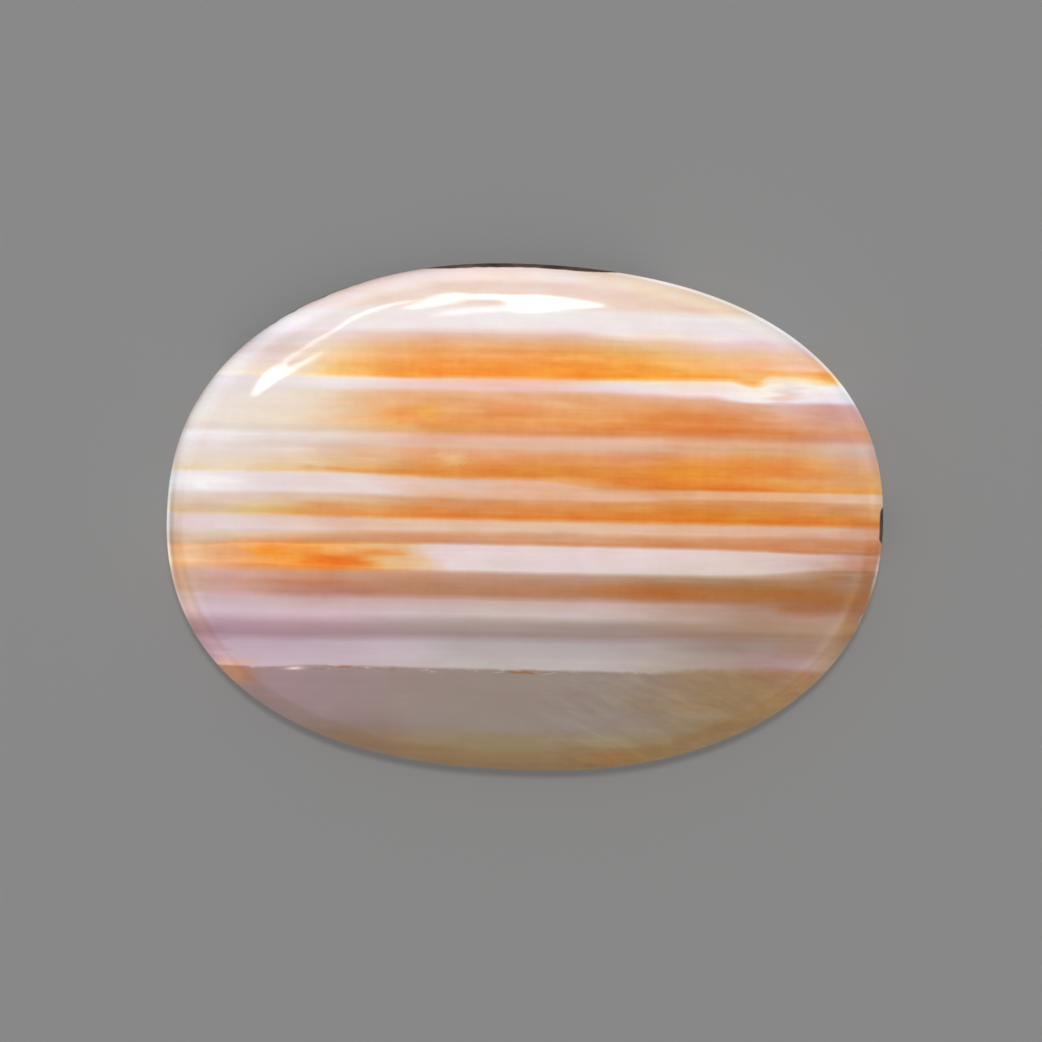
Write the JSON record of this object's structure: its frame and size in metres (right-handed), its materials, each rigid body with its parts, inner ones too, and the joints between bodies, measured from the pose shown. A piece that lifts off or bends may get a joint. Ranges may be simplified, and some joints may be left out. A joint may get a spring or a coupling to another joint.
{
  "type": "banded agate cabochon",
  "caption": "Oval polished cabochon of banded agate in orange, white and mauve-grey, with a flat back, for a setting, pendant or display.",
  "frame": {"origin": "middle of the stone's footprint on the surface that its flat back lies on", "axes": "+X along the long axis, which the bands follow; +Y across the bands, towards the rose and white side; +Z out of the dome"},
  "size_m": [0.027, 0.019, 0.0058],
  "materials": {
    "banded_agate": "polished"
  },
  "bodies": {
    "root": {"agate_cabochon": "banded_agate"}
  },
  "joints": []
}
